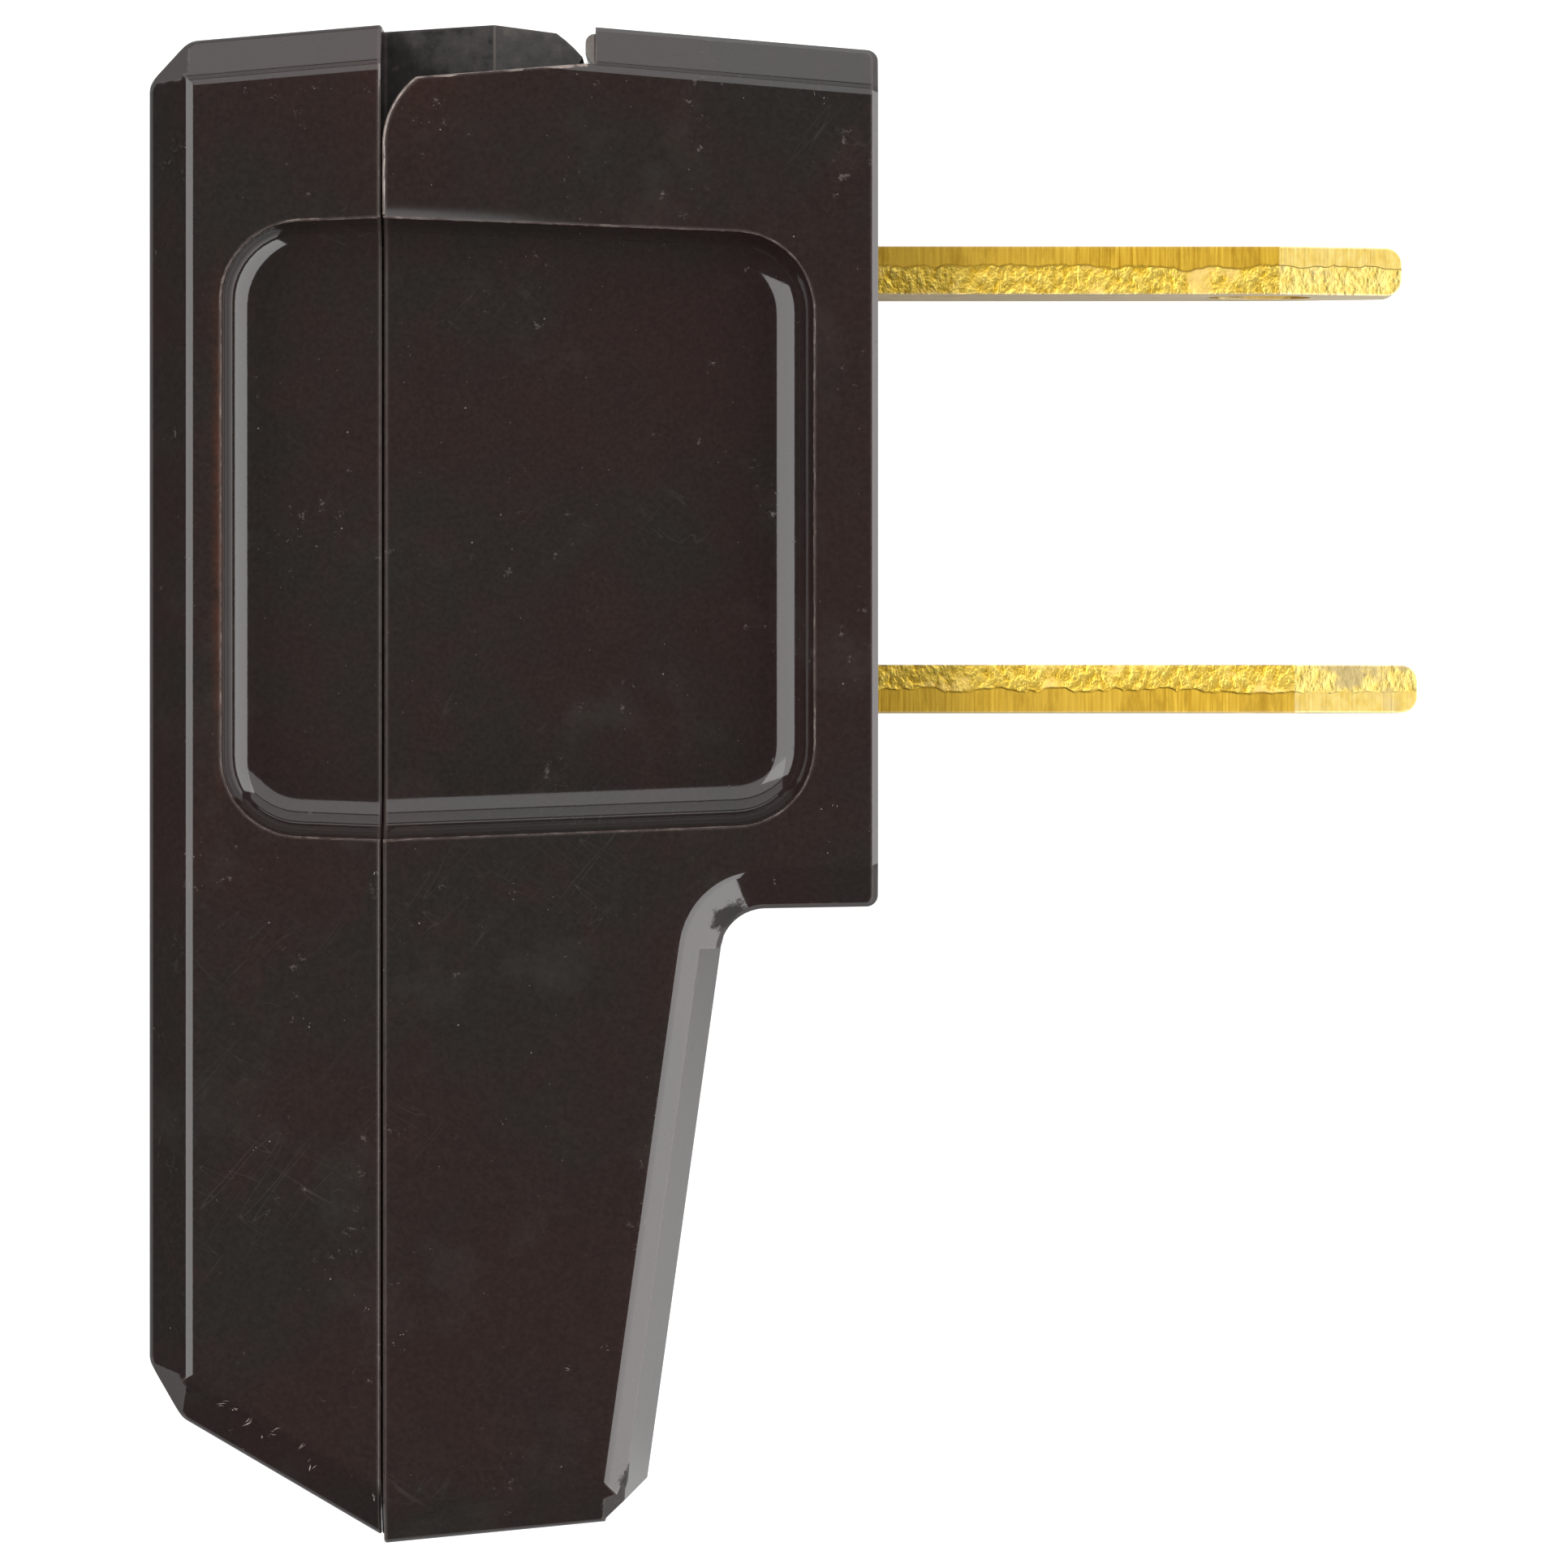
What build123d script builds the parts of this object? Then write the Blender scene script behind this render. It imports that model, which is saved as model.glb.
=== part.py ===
from build123d import *
import math
import os

# Right-angle straight blade plug whose rear cover swings open on trunnions to take a flat two-wire cord.
# The plug lies on its side. +X leaves the face along the blades, +Y runs up the face, +Z is across it.
# The origin is the middle of the face, half way between the two blades.
# Sizes are in millimetres, angles in degrees.

# Housing
plug_height = 45.8
housing_width = 18.0
front_depth = 14.82
rear_depth = 6.97
parting_gap = 0.08
parting_break = 0.06
bevel = 1.2
bevel_round = 0.5
rim_round = 0.4
face_break = 0.18
face_round = 0.35
facet_round = 0.65

# Head and leg of the front body
head_top = 12.77
head_bottom = 13.0
roof_angle = 4.8
underside_angle = 1.0
leg_setback = 4.58
leg_angle = 7.9
armpit_radius = 1.4
crown_angle = 4.1
foot_angle = 5.6
toe_cut = 0.84
toe_crown_angle = 1.5

# Rear cover
cover_step = 0.46
cover_roof_angle = 4.9
foot_step = 0.25
chin_angle = 30.4
back_corner_cut = 1.2
chin_corner_cut = 1.13

# Finger grip recess that crosses both halves
grip_top_margin = 5.06
grip_bottom_margin = 2.08
grip_front_margin = 1.92
grip_rear_margin = 2.19
grip_draft = 2.2
grip_corner = 2.4
grip_depth = 1.5
grip_front_floor_radius = 1.35
grip_rear_floor_radius = 1.25

# Hinge between the cheeks of the body and the tongue of the cover
hinge_setback = 2.52
hinge_drop = 3.65
open_angle = 70.0
stop_angle = 1.5
cheek_angle = 4.5
cheek_turn = 52.5
tongue_width = 7.4
tongue_draft = 1.2
tongue_peak_setback = 3.22
tongue_rise = 0.21
nose_radius = 4.44
nose_end_angle = 40.6
nose_span = 13.8
barrel_radius = 1.5
tongue_clearance = 0.12
lip_thickness = 0.36
lip_round = 0.28
trunnion_radius = 1.0
trunnion_length = 1.7
trunnion_chamfer = 0.3
hinge_clearance = 0.06
snap_bite = 0.1
snap_depth = 0.8

# Blades
blade_pitch = 12.7
blade_width = 6.35
blade_thickness = 1.45
blade_reach = 16.0
lower_slip = 0.47
tip_taper = 3.78
tip_width = 3.2
tip_round = 0.5
blade_hole = 3.18
hole_from_tip = 4.3
shoulder_width = 8.6
shoulder_length = 5.4
tail_inset = 0.22
spike_width = 2.6
spike_height = 3.3
spike_offset = 1.85
blade_clearance = 0.08

# Cord channel
channel_width = 8.4
channel_front = 1.2
channel_rear = 3.1
channel_headroom = 0.95
mouth_flare = 0.7
tooth_count = 4
tooth_pitch = 1.9
tooth_height = 0.35
tooth_from_mouth = 4.2
anvil_height = 0.9
anvil_thickness = 0.8
anvil_gap = 1.2

# Locating pegs beside the cord mouth
peg_height = 3.6
peg_thickness = 1.5
peg_length = 2.6
peg_wall = 1.4
peg_from_foot = 7.97
peg_clearance = 0.06
peg_swing_clearance = 0.3
peg_taper = 3.0

# Places worked out from the sizes above
half_width = housing_width / 2
parting_x = -front_depth
cover_x = parting_x - parting_gap
back_x = cover_x - rear_depth
channel_floor_x = parting_x + channel_front
cord_floor_x = cover_x - channel_rear
channel_top = blade_pitch / 2 + channel_headroom
shank_length = blade_reach - channel_floor_x - tail_inset - shoulder_length
upper_reach = blade_reach
lower_reach = blade_reach + lower_slip
peg_middle = channel_width / 2 + peg_wall + peg_thickness / 2
grip_top = head_top - grip_top_margin
grip_bottom = head_bottom - grip_bottom_margin
beyond = 2.0
tiny = 0.01


def slope(angle):
    """Rise per unit of run."""
    return math.tan(math.radians(angle))


# The cover's roof lies a little below the line of the body's roof, and the hinge hangs from it
roof_y = head_top + front_depth * slope(roof_angle)
cover_top = roof_y - cover_step
tongue_peak = cover_top + tongue_rise
axis_x = parting_x + hinge_setback
axis_y = cover_top - hinge_drop

# The foot lies the plug's whole height below the tongue's peak
foot_drop = plug_height - tongue_peak
peg_y = peg_from_foot - foot_drop


def from_axis(radius, angle):
    """The point at this radius and angle round the hinge axis."""
    turn = math.radians(angle)
    return (axis_x + radius * math.cos(turn), axis_y + radius * math.sin(turn))


class Corner:
    """A corner of an outline that is cut off, between points at this distance along its sides."""

    def __init__(self, corner, first, second, distance):
        corner = Vector(*corner)
        along_first = (Vector(*first) - corner).normalized()
        along_second = (Vector(*second) - corner).normalized()
        self.ends = (corner + along_first * distance, corner + along_second * distance)
        self.middle = (self.ends[0] + self.ends[1]) / 2
        self.along = self.ends[1] - self.ends[0]
        self.inward = (self.middle - corner).normalized()
        self.size = 2 * distance
        bevel_run = bevel / abs(along_first.cross(along_second).Z)
        self.mitre = corner + (along_first + along_second) * bevel_run

    def cut(self, foot, rise, reach):
        """Takes away what lies outside the plane through foot, along the cut and along rise."""
        normal = self.along.cross(rise)
        outward = -normal if normal.dot(self.inward) > 0 else normal
        align = (Align.CENTER, Align.CENTER, Align.MIN)
        with Locations(Plane(foot, x_dir=self.along, z_dir=outward)):
            Box(self.size, reach, self.size, align=align, mode=Mode.SUBTRACT)

    def cut_across(self, part):
        """Cuts the corner off across the width and rounds the two edges that this leaves."""
        self.cut(self.middle, Vector(0, 0, 1), housing_width)
        across = part.edges().filter_by(Axis.Z)
        fillet(
            across.filter_by(lambda edge: min((edge.center() - end).length for end in self.ends) < tiny),
            facet_round,
        )

    def cut_crowned(self, angle):
        """Cuts the corner off by two planes that slope back from the middle of the width."""
        for side in (-1, 1):
            self.cut(self.middle, self.inward * slope(angle) + Vector(0, 0, side), 2 * housing_width)

    def cut_facets(self, crown=0):
        """Cuts the sloped facets where the bevels of the two sides meet, below a cut crowned by this angle."""
        rim_z = half_width - bevel
        for side in (-1, 1):
            foot = self.middle + self.inward * rim_z * slope(crown) + Vector(0, 0, side * rim_z)
            peak = self.mitre + Vector(0, 0, side * half_width)
            self.cut(foot, peak - foot, self.size)


def side_edges(part):
    """The edges round the two side faces."""
    return part.faces().filter_by(Axis.Z).edges()


def rim_edges(part):
    """The outer edges of the bevels."""
    rim_z = half_width - bevel
    along_sides = part.edges().filter_by(Axis.Z, reverse=True)
    return along_sides.filter_by(lambda edge: all(abs(abs(v.Z) - rim_z) < tiny for v in edge.vertices()))


def off_plane(edges, x):
    """The edges that do not lie in the plane across X at x."""
    return edges.filter_by(lambda edge: abs(edge.center().X - x) > tiny)


def on_line(edges, start, end):
    """The edges in the plane across the width that holds this line of the side view."""
    along = (Vector(*end) - Vector(*start)).normalized()
    return edges.filter_by(
        lambda edge: all(abs((v.center() - Vector(*start)).cross(along).Z) < tiny for v in edge.vertices())
    )


def cord_channel(start_x, depth):
    """Cuts the channel for the cord, with ridges on its walls that bite into the cord."""
    low = -foot_drop - beyond
    with BuildSketch(Plane.YZ.offset(start_x)) as channel:
        with Locations(((low + channel_top) / 2, 0)):
            Rectangle(channel_top - low, channel_width)
        for row in range(tooth_count):
            y = tooth_from_mouth + row * tooth_pitch - foot_drop
            for side in (-1, 1):
                wall = side * channel_width / 2
                crest = wall - side * tooth_height
                ridge = ((y - tooth_height, wall), (y, crest), (y + tooth_height, wall))
                Polygon(*ridge, align=None, mode=Mode.SUBTRACT)
    extrude(channel.sketch, amount=depth, mode=Mode.SUBTRACT)


def mouth_edges(part, start, end):
    """The edges where the cord channel runs out through the underside."""
    edges = on_line(part.edges(), start, end)
    reach = channel_width / 2 + tiny
    inside = edges.filter_by(lambda edge: all(abs(v.Z) < reach for v in edge.vertices()))
    return off_plane(off_plane(inside, parting_x), cover_x)


def slot(height, start_x, end_x, width):
    """Cuts a slot for a blade, from one X to the other."""
    slot_thickness = blade_thickness + 2 * blade_clearance
    slot_width = width + 2 * blade_clearance
    with Locations(((start_x + end_x) / 2, height, 0)):
        Box(end_x - start_x, slot_thickness, slot_width, mode=Mode.SUBTRACT)


def parting_rim(part, x):
    """The edges of the outside that lie in the parting plane at x."""
    in_plane = part.edges().filter_by(lambda edge: all(abs(v.X - x) < tiny for v in edge.vertices()))
    return in_plane.filter_by(lambda edge: abs(edge.center().Z) > half_width - grip_depth - tiny)


def blade(height, reach, side):
    """A stamped blade with a tapered tip, a shoulder and a spike, turned over where side is -1."""
    seat_x = reach - shank_length
    tail_x = seat_x - shoulder_length
    with BuildSketch(Plane.XZ.offset(-height)) as plan:
        with BuildLine():
            Polyline(
                (reach, side * tip_width / 2),
                (reach - tip_taper, side * blade_width / 2),
                (seat_x, side * blade_width / 2),
                (seat_x, side * shoulder_width / 2),
                (tail_x, side * shoulder_width / 2),
                (tail_x, side * (spike_offset + spike_width / 2)),
                (tail_x - spike_height, side * spike_offset),
                (tail_x, side * (spike_offset - spike_width / 2)),
                (tail_x, -side * shoulder_width / 2),
                (seat_x, -side * shoulder_width / 2),
                (seat_x, -side * blade_width / 2),
                (reach - tip_taper, -side * blade_width / 2),
                (reach, -side * tip_width / 2),
                close=True,
            )
        make_face()
        with Locations((reach - hole_from_tip, 0)):
            Circle(blade_hole / 2, mode=Mode.SUBTRACT)
    extrude(plan.sketch, amount=blade_thickness / 2, both=True)


# Outline of the front body, seen from the side
leg_run = slope(leg_angle) * (foot_drop - head_bottom)
foot_rise = slope(leg_angle) * slope(foot_angle)
toe_x = (foot_rise * front_depth - leg_setback - leg_run) / (1 - foot_rise)
toe = (toe_x, slope(foot_angle) * (toe_x + front_depth) - foot_drop)
heel = (parting_x, -foot_drop)
armpit = (-leg_setback, -head_bottom)
face_bottom = (0, leg_setback * slope(underside_angle) - head_bottom)
face_top = (0, head_top)
roof_end = (parting_x, roof_y)

# The leg is crowned across its width, from where the round of the armpit ends
leg_down = Vector(-math.sin(math.radians(leg_angle)), -math.cos(math.radians(leg_angle)))
armpit_run = armpit_radius / slope((90 + leg_angle + underside_angle) / 2)
crown_start = Vector(*armpit) + leg_down * armpit_run

# Outline of the cover
cover_roof = (cover_x, cover_top)
back_top = (back_x, cover_top - rear_depth * slope(cover_roof_angle))
chin = (cover_x, foot_step - foot_drop)
back_bottom = (back_x, chin[1] + rear_depth * slope(chin_angle))

# Corners that are cut off
toe_corner = Corner(toe, heel, armpit, toe_cut)
top_corner = Corner(back_top, cover_roof, back_bottom, back_corner_cut)
chin_corner = Corner(back_bottom, chin, back_top, chin_corner_cut)

# Outline of the hinge
above = cover_top + beyond
pocket_half = tongue_width / 2 + tongue_clearance
pocket_radius = nose_radius + tongue_clearance
pocket_floor = axis_y - barrel_radius - tongue_clearance
lip_nose = from_axis(pocket_radius, nose_end_angle)
lip_top = (lip_nose[0], head_top - lip_nose[0] * slope(roof_angle))
notch_x = lip_nose[0] + lip_thickness
cheek_start = from_axis(hinge_setback, 180 - cheek_turn)
cheek_end = (notch_x, cheek_start[1] + (notch_x - cheek_start[0]) * slope(cheek_angle))
nose_top_angle = nose_end_angle + nose_span
barrel_turn = math.degrees(math.acos(barrel_radius / nose_radius))
swept_angle = nose_end_angle - open_angle - stop_angle

# The grip narrows away from the parting plane, and its tool reaches past that plane
grip_flare = beyond * slope(grip_draft)


with BuildPart() as front_grip:
    with BuildSketch(Plane.XY.offset(half_width - grip_depth)) as front_grip_outline:
        with BuildLine():
            grip_run = front_depth - grip_front_margin
            Polyline(
                (parting_x - beyond, grip_top + grip_flare),
                (-grip_front_margin, grip_top - grip_run * slope(grip_draft)),
                (-grip_front_margin, grip_run * slope(grip_draft) - grip_bottom),
                (parting_x - beyond, -grip_bottom - grip_flare),
                close=True,
            )
        make_face()
        fillet(front_grip_outline.vertices().group_by(Axis.X)[-1], grip_corner)
    extrude(amount=grip_depth + beyond)
    floor_rim = front_grip.faces().sort_by(Axis.Z)[0].edges().sort_by(Axis.X)[1:]
    fillet(floor_rim, grip_front_floor_radius)

with BuildPart() as rear_grip:
    with BuildSketch(Plane.XY.offset(half_width - grip_depth)) as rear_grip_outline:
        with BuildLine():
            grip_end_x = back_x + grip_rear_margin
            grip_run = cover_x - grip_end_x
            Polyline(
                (cover_x + beyond, grip_top + grip_flare),
                (grip_end_x, grip_top - grip_run * slope(grip_draft)),
                (grip_end_x, grip_run * slope(grip_draft) - grip_bottom),
                (cover_x + beyond, -grip_bottom - grip_flare),
                close=True,
            )
        make_face()
        fillet(rear_grip_outline.vertices().group_by(Axis.X)[0], grip_corner)
    extrude(amount=grip_depth + beyond)
    floor_rim = rear_grip.faces().sort_by(Axis.Z)[0].edges().sort_by(Axis.X)[:-1]
    fillet(floor_rim, grip_rear_floor_radius)

with BuildPart() as front_body:
    with BuildSketch() as body_outline:
        with BuildLine():
            Polyline(heel, toe, armpit, face_bottom, face_top, roof_end, close=True)
        make_face()
        fillet(body_outline.vertices().sort_by_distance(armpit)[0], armpit_radius)
    extrude(amount=half_width, both=True)
    chamfer(off_plane(off_plane(side_edges(front_body), parting_x), 0), bevel)
    fillet(off_plane(off_plane(side_edges(front_body), parting_x), 0), bevel_round)
    fillet(front_body.faces().sort_by(Axis.X)[-1].edges().filter_by(Axis.Z), face_round)
    chamfer(front_body.faces().sort_by(Axis.X)[-1].edges().filter_by(Axis.Z, reverse=True), face_break)
    fillet(rim_edges(front_body), rim_round)
    with BuildSketch(Plane.XZ.offset(-crown_start.Y)) as crown_outline:
        for side in (-half_width, half_width):
            crown_edge = crown_start.X - half_width * slope(crown_angle)
            outer = crown_start.X + beyond
            Polygon((crown_start.X, 0), (crown_edge, side), (outer, side), (outer, 0), align=None)
    extrude(amount=foot_drop, dir=leg_down, mode=Mode.SUBTRACT)
    toe_corner.cut_crowned(toe_crown_angle)
    toe_corner.cut_facets(toe_crown_angle)
    # Finger grips
    add(front_grip.part, mode=Mode.SUBTRACT)
    mirror(front_grip.part, about=Plane.XY, mode=Mode.SUBTRACT)
    # Pocket that the tongue turns in, open to the rear and through the roof, with a lip in front
    with BuildSketch() as pocket_outline:
        with BuildLine():
            pocket_entry = Line((parting_x - beyond, pocket_floor), (axis_x, pocket_floor))
            pocket_ramp = Line(pocket_entry @ 1, from_axis(pocket_radius, swept_angle))
            pocket_wall = ThreePointArc(pocket_ramp @ 1, from_axis(pocket_radius, 0), lip_nose)
            Polyline(
                pocket_wall @ 1,
                lip_top,
                (lip_top[0], above),
                (parting_x - beyond, above),
                pocket_entry @ 0,
            )
        make_face()
    extrude(amount=pocket_half, both=True, mode=Mode.SUBTRACT)
    fillet(front_body.edges().filter_by(Axis.Z).sort_by_distance(lip_top)[0], lip_round)
    for side in (-1, 1):
        # Notch over each cheek, rounded about the hinge axis so that the cover can swing past
        with BuildSketch(Plane.XY.offset(side * pocket_half)) as notch_outline:
            with BuildLine():
                cheek_arc = ThreePointArc(
                    (parting_x, axis_y),
                    from_axis(hinge_setback, 180 - cheek_turn / 2),
                    cheek_start,
                )
                Polyline(
                    cheek_arc @ 1,
                    cheek_end,
                    (notch_x, above),
                    (parting_x - beyond, above),
                    (parting_x - beyond, axis_y),
                    cheek_arc @ 0,
                )
            make_face()
        extrude(amount=side * half_width, mode=Mode.SUBTRACT)
        # Socket for a trunnion, with a shallow groove that it snaps in through
        with BuildSketch(Plane.XY.offset(side * pocket_half)) as socket_outline:
            with Locations((axis_x, axis_y)):
                Circle(trunnion_radius + hinge_clearance)
        extrude(amount=side * (trunnion_length + tongue_clearance), mode=Mode.SUBTRACT)
        with BuildSketch(Plane.XY.offset(side * pocket_half)) as snap_outline:
            with Locations((axis_x, axis_y)):
                throat = 2 * (trunnion_radius - snap_bite)
                Rectangle(hinge_setback + beyond, throat, align=(Align.MAX, Align.CENTER))
        extrude(amount=side * snap_depth, mode=Mode.SUBTRACT)
        # Socket for a locating peg
        with Locations((parting_x, peg_y, side * peg_middle)):
            Box(
                2 * (peg_length + peg_swing_clearance),
                peg_height + 2 * peg_swing_clearance,
                peg_thickness + 2 * peg_clearance,
                mode=Mode.SUBTRACT,
            )
    # Cord channel and the blades' slots
    cord_channel(channel_floor_x, -channel_front - beyond)
    chamfer(mouth_edges(front_body, heel, toe), mouth_flare)
    for height, reach in ((blade_pitch / 2, upper_reach), (-blade_pitch / 2, lower_reach)):
        slot(height, parting_x - beyond, beyond, blade_width)
        slot(height, parting_x - beyond, reach - shank_length, shoulder_width)
    chamfer(parting_rim(front_body, parting_x), parting_break)
    front_body.part.label = "front_body"

with BuildPart() as tongue:
    with BuildSketch() as tongue_outline:
        with BuildLine():
            tongue_roof = Polyline(
                (cover_x, cover_top),
                (parting_x + tongue_peak_setback, tongue_peak),
                from_axis(nose_radius, nose_top_angle),
            )
            nose = ThreePointArc(
                tongue_roof @ 1,
                from_axis(nose_radius, (nose_top_angle + nose_end_angle) / 2),
                from_axis(nose_radius, nose_end_angle),
            )
            nose_back = Line(nose @ 1, from_axis(barrel_radius, nose_end_angle - barrel_turn))
            barrel = ThreePointArc(
                nose_back @ 1,
                from_axis(barrel_radius, (nose_end_angle - barrel_turn - 90) / 2),
                from_axis(barrel_radius, -90),
            )
            Polyline(
                barrel @ 1,
                (cover_x - beyond, axis_y - barrel_radius),
                (cover_x - beyond, cover_top - beyond),
                (cover_x, cover_top - beyond),
                tongue_roof @ 0,
            )
        make_face()
    extrude(amount=tongue_width / 2, both=True)
    # The sides taper away from a ridge over the hinge axis
    with BuildSketch(Plane.XZ) as tongue_plan:
        with BuildLine():
            ridge = tongue_width / 2
            root_x = cover_x - beyond
            tip_x = axis_x + nose_radius
            root_half = ridge - (axis_x - root_x) * slope(tongue_draft)
            tip_half = ridge - (tip_x - axis_x) * slope(tongue_draft)
            Polyline(
                (root_x, root_half),
                (axis_x, ridge),
                (tip_x, tip_half),
                (tip_x, -tip_half),
                (axis_x, -ridge),
                (root_x, -root_half),
                close=True,
            )
        make_face()
    extrude(amount=2 * above, both=True, mode=Mode.INTERSECT)
    with Locations((axis_x, axis_y, 0)):
        Cylinder(trunnion_radius, tongue_width + 2 * trunnion_length)
    trunnion_rims = tongue.edges().filter_by(GeomType.CIRCLE).group_by(Axis.Z)
    chamfer(trunnion_rims[0] + trunnion_rims[-1], trunnion_chamfer)

with BuildPart() as hinged_cover:
    with BuildSketch() as cover_outline:
        with BuildLine():
            Polyline(cover_roof, back_top, back_bottom, chin, close=True)
        make_face()
    extrude(amount=half_width, both=True)
    chamfer(off_plane(side_edges(hinged_cover), cover_x), bevel)
    fillet(off_plane(side_edges(hinged_cover), cover_x), bevel_round)
    for corner in (top_corner, chin_corner):
        corner.cut_across(hinged_cover)
    fillet(rim_edges(hinged_cover), rim_round)
    for corner in (top_corner, chin_corner):
        corner.cut_facets()
    # Finger grips
    add(rear_grip.part, mode=Mode.SUBTRACT)
    mirror(rear_grip.part, about=Plane.XY, mode=Mode.SUBTRACT)
    # Cord channel, with ribs beside the spikes that press the cord on to them
    cord_channel(cord_floor_x, channel_rear + beyond)
    chamfer(mouth_edges(hinged_cover, chin, back_bottom), mouth_flare)
    anvil_step = blade_thickness / 2 + anvil_gap + anvil_thickness / 2
    upper_rib = blade_pitch / 2 - anvil_step
    lower_rib = -blade_pitch / 2 - anvil_step
    for rib_y in (upper_rib, -upper_rib, lower_rib):
        with Locations((cord_floor_x, rib_y, 0)):
            Box(2 * anvil_height, anvil_thickness, channel_width)
    add(tongue.part)
    # Locating pegs
    for side in (-1, 1):
        with BuildSketch(Plane.YZ.offset(cover_x)) as peg_outline:
            with Locations((peg_y, side * peg_middle)):
                Rectangle(peg_height, peg_thickness)
        extrude(amount=peg_length, taper=peg_taper)
    chamfer(parting_rim(hinged_cover, cover_x), parting_break)
    hinged_cover.part.label = "hinged_cover"

with BuildPart() as upper_blade:
    blade(blade_pitch / 2, upper_reach, 1)
    fillet(upper_blade.faces().sort_by(Axis.X)[-1].edges().filter_by(Axis.Z), tip_round)
    upper_blade.part.label = "upper_blade"

with BuildPart() as lower_blade:
    blade(-blade_pitch / 2, lower_reach, -1)
    fillet(lower_blade.faces().sort_by(Axis.X)[-1].edges().filter_by(Axis.Z), tip_round)
    lower_blade.part.label = "lower_blade"

os.makedirs("parts", exist_ok=True)
export_step(front_body.part, "parts/front_body.step")
export_step(hinged_cover.part, "parts/hinged_cover.step")
export_step(upper_blade.part, "parts/upper_blade.step")
export_step(lower_blade.part, "parts/lower_blade.step")
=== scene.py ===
import math
import random

import bpy
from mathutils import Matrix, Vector, noise


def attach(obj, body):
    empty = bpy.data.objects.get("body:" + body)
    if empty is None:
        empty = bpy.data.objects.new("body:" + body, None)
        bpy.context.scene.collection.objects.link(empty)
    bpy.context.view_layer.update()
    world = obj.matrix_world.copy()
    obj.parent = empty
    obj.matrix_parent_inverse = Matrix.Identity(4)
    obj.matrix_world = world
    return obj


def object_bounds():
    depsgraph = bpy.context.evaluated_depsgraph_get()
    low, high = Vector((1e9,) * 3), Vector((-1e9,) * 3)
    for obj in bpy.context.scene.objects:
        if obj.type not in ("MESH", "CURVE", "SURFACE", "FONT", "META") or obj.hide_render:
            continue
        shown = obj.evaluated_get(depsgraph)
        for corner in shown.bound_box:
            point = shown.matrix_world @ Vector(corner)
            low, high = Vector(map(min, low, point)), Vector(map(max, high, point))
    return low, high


# Glossy dark-brown plug that lies on its side under soft light, seen from straight above as photographed.
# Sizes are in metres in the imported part's frame: +X along the blades, +Y up the face, +Z to the camera.
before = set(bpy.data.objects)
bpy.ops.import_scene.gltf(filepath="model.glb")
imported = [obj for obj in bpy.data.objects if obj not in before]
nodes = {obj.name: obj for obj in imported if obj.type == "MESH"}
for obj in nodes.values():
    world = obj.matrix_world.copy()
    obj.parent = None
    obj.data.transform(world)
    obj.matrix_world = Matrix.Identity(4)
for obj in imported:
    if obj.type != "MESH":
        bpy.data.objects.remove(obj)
cad_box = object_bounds()
scene = bpy.context.scene

MM = 0.001

# Camera
CAMERA_PLACE = Vector((-2.82 * MM, -9.245 * MM, 420 * MM))
VIEW_MIDDLE = Vector((CAMERA_PLACE.x, CAMERA_PLACE.y, 0.0))
SENSOR_WIDTH = 36.0
LENS = 315.3
CLIP_START = 0.01
CLIP_END = 20.0

# Studio
FLOOR_RADIUS = 0.15
FLOOR_SIDES = 96
FLOOR_GREY = 0.38
FLOOR_ROUGHNESS = 0.9
FLOOR_LIFT = 0.85
WORLD_GLOW = 0.08
BACKDROP = 1.0
PANEL_DISTANCE = 0.42

# Soft lights: azimuths and elevations in degrees, and brightness
PANELS = {
    "right_panel": ((-72, 34), (-10, 48), 4.3),
    "left_high_panel": ((143, 212), (22, 70), 3.9),
    "top_low_panel": ((52, 132), (-8, 9), 1.5),
    "top_middle_panel": ((38, 142), (13, 41), 1.25),
    "top_high_panel": ((26, 156), (44, 76), 1.95),
}

# Tongue of the cover, which turns between the cheeks, and the body's lip that it rubs on
TONGUE_START = -14.82 * MM
TONGUE_GAP = 0.05 * MM
TONGUE_HALF = 3.9 * MM
TONGUE_SIDE = 0.05 * MM
TONGUE_RIDGE = -11.6 * MM
RIDGE_HALF = 0.06 * MM
RIDGE_CORE = 0.02 * MM
# Round painted sheen on the tongue's side: its middle, radius and soft borders
TONGUE_SHEEN = Vector((-11.8, 14.7, 3.7)) * MM
SHEEN_RADIUS = 2.75 * MM
SHEEN_OUTSIDE = 0.25 * MM
SHEEN_INSIDE = 0.15 * MM
LIP_END = -8.55 * MM
LIP_FOOT = 12.36 * MM
LIP_SIDE = 0.1 * MM

# Finger grips: corners of their rims on the side faces, and how their upper rim falls with X
HALF_WIDTH = 9.0 * MM
BODY_GRIP = [
    (x * MM, y * MM) for x, y in ((-14.82, 7.71), (-1.92, 7.2144), (-1.92, -10.4244), (-14.82, -10.92))
]
COVER_GRIP = [
    (x * MM, y * MM) for x, y in ((-14.90, 7.71), (-19.68, 7.526), (-19.68, -10.736), (-14.90, -10.92))
]
GRIP_CORNER = 2.4 * MM
GRIP_BACK = -19.68 * MM
GRIP_TOP = 7.71 * MM
GRIP_FALL = 0.0384
GRIP_MIDDLE = -1.6 * MM

# Cheeks round the hinge
HINGE_AXIS = Vector((-12.3, 9.90447)) * MM
CHEEK_RADIUS = 2.52 * MM
CHEEK_TURN = 52.5
CHEEK_FOOT = GRIP_TOP + 0.1 * MM
CHEEK_END = Vector((-8.70, 12.307)) * MM
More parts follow.
